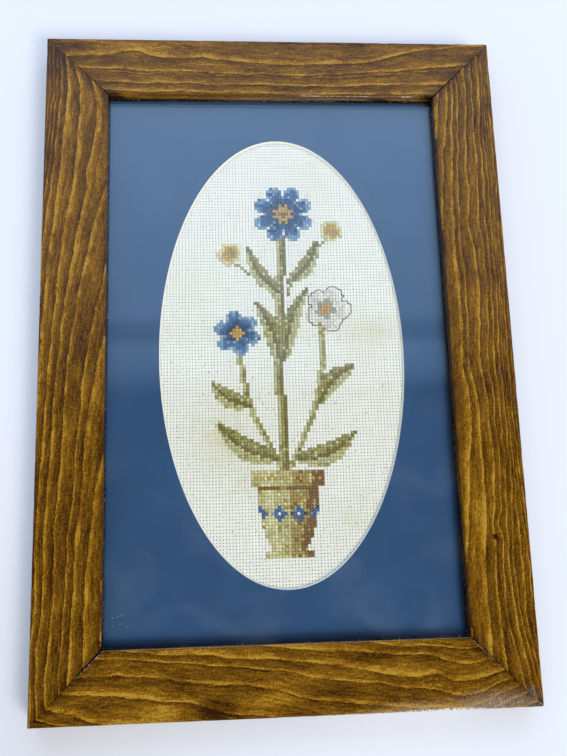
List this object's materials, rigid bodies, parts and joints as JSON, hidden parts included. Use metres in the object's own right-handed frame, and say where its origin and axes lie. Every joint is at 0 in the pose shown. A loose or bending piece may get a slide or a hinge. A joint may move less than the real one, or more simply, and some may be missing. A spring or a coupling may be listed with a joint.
{
  "type": "cross-stitch picture in a wooden frame",
  "caption": "Tall counted cross-stitch picture on evenweave cloth behind an oval mat and glass, in a flat mitred wooden frame with a rebate and a closed back.",
  "frame": {"origin": "middle of the frame's back, on the surface that it lies on", "axes": "+Z out of the picture's face, +Y towards the picture's top, +X to the right as it is looked at"},
  "size_m": [0.279, 0.405, 0.019],
  "materials": {
    "stained_pine": "satin varnish over walnut stain",
    "picture_glass": "clear, polished",
    "mat_paper": "matt navy paper over a cream core",
    "evenweave_cloth": "woven cotton with natural flecks",
    "fibre_board": "pressed, matt"
  },
  "bodies": {
    "root": {"rail_top": "stained_pine", "rail_bottom": "stained_pine", "rail_left": "stained_pine", "rail_right": "stained_pine", "glass_pane": "picture_glass", "mat_board": "mat_paper", "evenweave_cloth": "evenweave_cloth", "backing_board": "fibre_board"}
  },
  "joints": []
}
